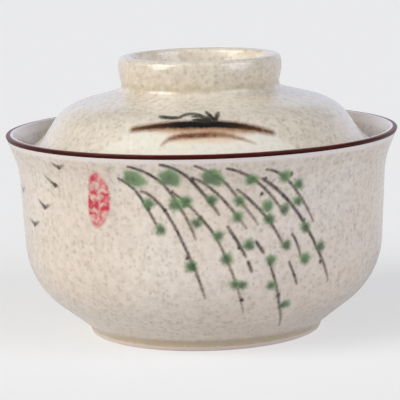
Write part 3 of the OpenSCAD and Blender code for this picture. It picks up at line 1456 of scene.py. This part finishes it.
@dataclass
class HillPainting(Painting):
    """Misty hills in brown and black ink on the front of the lid."""

    name: str = "hill_painting"
    bounds: Bounds = (-44, 44, 87.5, 108.5)
    step: float = 0.45
    mist: tuple[Stroke, ...] = (
        Stroke(((-29.0, 96.3), (-15.0, 97.9), (0.0, 98.3), (14.0, 97.3), (27.5, 94.3)), 6.5, (0.5, 0.4)),
        Stroke(((-34.0, 91.8), (-16.0, 93.8), (0.0, 94.3), (15.0, 93.3), (32.0, 90.1)), 7.5, (0.6, 0.5)),
        Stroke(((-36.0, 88.8), (0.0, 90.3), (34.0, 87.8)), 5.0, (0.8, 0.8)),
    )
    wash: tuple[Stroke, ...] = (
        Stroke(((-19.0, 99.6), (0.0, 99.6), (19.0, 97.9)), 4.6, (0.5, 0.4), 0.3, (0.5, 0.8, 0.6)),
        Stroke(((-10.0, 95.4), (-1.0, 96.0), (12.0, 95.0)), 3.2, (0.4, 0.4), 0.3, (0.1, 0.2, 0.0)),
    )
    arc: Stroke = Stroke(
        ((-14.2, 93.7), (-11.5, 96.0), (-8.0, 97.0), (-1.5, 97.4), (5.5, 97.4), (12.0, 96.2), (19.0, 93.1)),
        2.9,
        (0.25, 0.2),
        0.4,
        (0.35, 1.0, 0.2),
    )
    ridge: Stroke = Stroke(
        (
            (-26.6, 99.5), (-15.2, 101.1), (-6.5, 101.5), (0.0, 101.6), (7.0, 101.3), (17.0, 99.8),
            (26.6, 96.9),
        ),
        4.9,
        (0.5, 0.4),
        0.36,
        (0.5, 1.3, 0.4),
    )
    marks: tuple[Stroke, ...] = (
        Stroke(((-17.5, 104.4), (-13.5, 104.0), (-8.5, 104.1)), 2.8, (0.7, 0.6), 0.3, (0.7, 0.8, 0.5)),
        Stroke(
            ((-8.8, 104.3), (-5.5, 105.2), (-1.5, 104.9), (2.6, 103.1)), 3.1, (0.5, 0.8), 0.3, (0.5, 0.6, 0.9)
        ),
        Stroke(((-3.4, 104.3), (0.2, 104.3), (3.4, 103.0)), 3.0, (0.5, 0.8), 0.3, (0.4, 0.7, 0.8)),
        Stroke(((-3.0, 103.2), (2.8, 102.6)), 2.8, (0.5, 0.8), 0.3, (0.7, 0.9, 0.9)),
        Stroke(((5.6, 102.7), (4.2, 104.1), (2.4, 105.9)), 2.2, (1.0, 0.5), 0.3, (1.0, 0.9, 0.7)),
        Stroke(((5.6, 102.7), (6.6, 104.1), (7.8, 105.6)), 2.2, (1.0, 0.5), 0.3, (1.0, 0.9, 0.6)),
    )

    def paint(self, skin: Skin) -> None:
        """Paints mist, wash, the lower arc, the ridge and the marks on top of it.

        Args:
            skin: The skin that is painted.
        """
        painted = {
            Layer.MIST: self.mist,
            Layer.WASH: self.wash,
            Layer.ARC: (self.arc,),
            Layer.RIDGE: (self.ridge,),
            Layer.MARK: self.marks,
        }
        for layer, strokes in painted.items():
            for stroke in strokes:
                skin.stroke(layer, stroke)


@dataclass(frozen=True)
class SoftSun:
    """A far, soft light: where it stands as seen from the object, its spread, strength and colour."""

    name: str
    azimuth: float
    elevation: float
    spread: float
    strength: float
    colour: Colour

    def build(self) -> None:
        """Hangs the light."""
        side, tilt = math.radians(self.azimuth), math.radians(self.elevation)
        away = Vector((math.sin(side) * math.cos(tilt), -math.cos(side) * math.cos(tilt), math.sin(tilt)))
        data = bpy.data.lights.new(self.name, "SUN")
        data.angle = math.radians(self.spread)
        data.energy = self.strength
        data.color = self.colour[:3]
        lamp = bpy.data.objects.new(self.name, data)
        lamp.location = away
        lamp.rotation_mode = "QUATERNION"
        lamp.rotation_quaternion = (-away).to_track_quat("-Z", "Y")
        bpy.context.scene.collection.objects.link(lamp)


@dataclass
class Studio:
    """A pale floor in front of a pale backdrop, under soft light, and the camera.

    The camera's focal length and shift are shares of the picture's side, which is PHOTO_SIDE pixels in
    the photograph.
    """

    PHOTO_SIDE = 400

    floor_tone: Colour = tint(240, 240, 240)
    floor_light: Colour = tint(255, 255, 255)
    floor_bounce: Colour = tint(214, 212, 210)
    floor_glow: float = 0.5
    floor_mirrored: float = 0.5
    floor_side: float = 30.0
    sky_tone: Colour = tint(250, 250, 255)
    sky_strength: float = 0.2
    backdrop_tone: Colour = tint(230, 234, 252)
    backdrop_way: tuple[float, float, float] = (0.0, 0.55, -0.83)
    backdrop_edge: Place = (-0.1, 0.2)
    suns: tuple[SoftSun, ...] = (
        SoftSun("key_light", azimuth=-61, elevation=27, spread=45, strength=2.55, colour=tint(255, 254, 252)),
        SoftSun("fill_light", azimuth=55, elevation=23, spread=46, strength=1.65, colour=tint(238, 243, 255)),
    )
    look_at: tuple[float, float, float] = (0.0, 0.0, 64 * MM)
    distance: float = 0.95
    elevation: float = 9.0
    roll: float = 1.42
    focal_share: float = 2071 / PHOTO_SIDE
    shift: Place = (-2.9 / PHOTO_SIDE, -11.65 / PHOTO_SIDE)

    def build(self) -> None:
        """Lays the floor, sets the lights and the sky, and aims the camera."""
        self._floor()
        self._sky()
        for sun in self.suns:
            sun.build()
        self._camera()

    def _floor(self) -> None:
        """Lays a wide floor that looks paler than the light that it throws back, and keeps shadows."""
        half = self.floor_side / 2
        corners = np.array([(-half, -half, 0), (half, -half, 0), (half, half, 0), (-half, half, 0)])
        shader = Shader.of_material("studio_floor")
        seen = shader.ray(Ray.SEEN) + shader.ray(Ray.MIRRORED) * self.floor_mirrored
        colour = shader.blend(seen, self.floor_bounce, self.floor_tone)
        matt = shader.node("ShaderNodeBsdfDiffuse", {}, {"Color": colour})
        glow = shader.node("ShaderNodeEmission", {}, {"Color": self.floor_light, "Strength": 1.0})
        surface = shader.node("ShaderNodeMixShader", {}, {0: seen * self.floor_glow, 1: matt, 2: glow})
        mesh = new_mesh("studio_floor", corners, [(0, 1, 2, 3)])
        new_object("studio_floor", mesh, shader.finish(surface))

    def _sky(self) -> None:
        """Sets a dim, even sky that looks pale itself, and shows as a pale backdrop in the glaze."""
        shader = Shader(bpy.data.worlds.new("studio_sky"))
        facing = {0: shader.place, 1: self.backdrop_way}
        behind = shader.node("ShaderNodeVectorMath", {"operation": "DOT_PRODUCT"}, facing, "Value")
        mirrored = shader.ray(Ray.MIRRORED) + shader.ray(Ray.THROUGH)
        pale = shader.ray(Ray.SEEN) + mirrored * behind.rise(*self.backdrop_edge)
        dim = {"Color": self.sky_tone, "Strength": self.sky_strength}
        bright = {"Color": self.backdrop_tone, "Strength": 1.0}
        skies = [shader.node("ShaderNodeBackground", {}, light) for light in (dim, bright)]
        sky = shader.node("ShaderNodeMixShader", {}, {0: pale, 1: skies[0], 2: skies[1]})
        bpy.context.scene.world = shader.finish(sky)

    def _camera(self) -> None:
        """Aims the camera as the photograph was taken."""
        data = bpy.data.cameras.new("camera")
        data.lens = self.focal_share * data.sensor_width
        data.shift_x, data.shift_y = self.shift
        camera = bpy.data.objects.new("camera", data)
        tilt = math.radians(self.elevation)
        back = Vector((0, -math.cos(tilt), math.sin(tilt)))
        camera.location = Vector(self.look_at) + back * self.distance
        camera.rotation_mode = "QUATERNION"
        turn = Quaternion((0, 0, 1), math.radians(-self.roll))
        camera.rotation_quaternion = (-back).to_track_quat("-Z", "Y") @ turn
        bpy.context.scene.collection.objects.link(camera)
        bpy.context.scene.camera = camera


def report(made: bpy.types.Object) -> None:
    """Logs a piece with its size."""
    sides = " x ".join(f"{side / MM:.1f}" for side in made.dimensions)
    LOG.info("%s: %s mm, %d points", made.name, sides, len(made.data.vertices))


def main() -> None:
    """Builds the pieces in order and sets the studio."""
    logging.basicConfig(level=logging.INFO, format="%(message)s")
    outlines = {name: Outline.of_node(node) for name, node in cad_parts.items()}
    glaze = SpeckledGlaze()
    cream = glaze.material()
    bowl = BowlShell("bowl_shell", "bowl", "bowl", "speckled_glaze", outlines["bowl"])
    band = RimBand("rim_band_glaze", "rim_band", "bowl", "iron_glaze", outlines["rim_band"])
    lid = LidShell("lid_shell", "lid", "lid", "speckled_glaze", outlines["lid"])
    report(bowl.build(cream))
    report(band.build(IronGlaze().material()))
    report(lid.build(cream))

    bowl_wall = Wall(bowl, *BOWL_PAINTED)
    lid_wall = Wall(lid, *LID_PAINTED)
    willow = PaintedGlaze("willow_glaze", glaze, (TWIG_INK, LEAF_GREEN))
    birds = PaintedGlaze("bird_glaze", glaze, (BIRD_INK,))
    seal = PaintedGlaze("seal_glaze", glaze, (SEAL_RED,))
    hills = PaintedGlaze("hill_glaze", glaze, (MIST_WHITE, HILL_WASH, ARC_BROWN, RIDGE_INK, MARK_INK))
    report(WillowPainting(bowl_wall, willow.material()).build())
    report(BirdPainting(bowl_wall, birds.material()).build())
    report(SealStamp(bowl_wall, seal.material()).build())
    report(HillPainting(lid_wall, hills.material()).build())

    Studio().build()
    bpy.context.scene.view_settings.view_transform = "Standard"


if __name__ == "__main__":
    main()
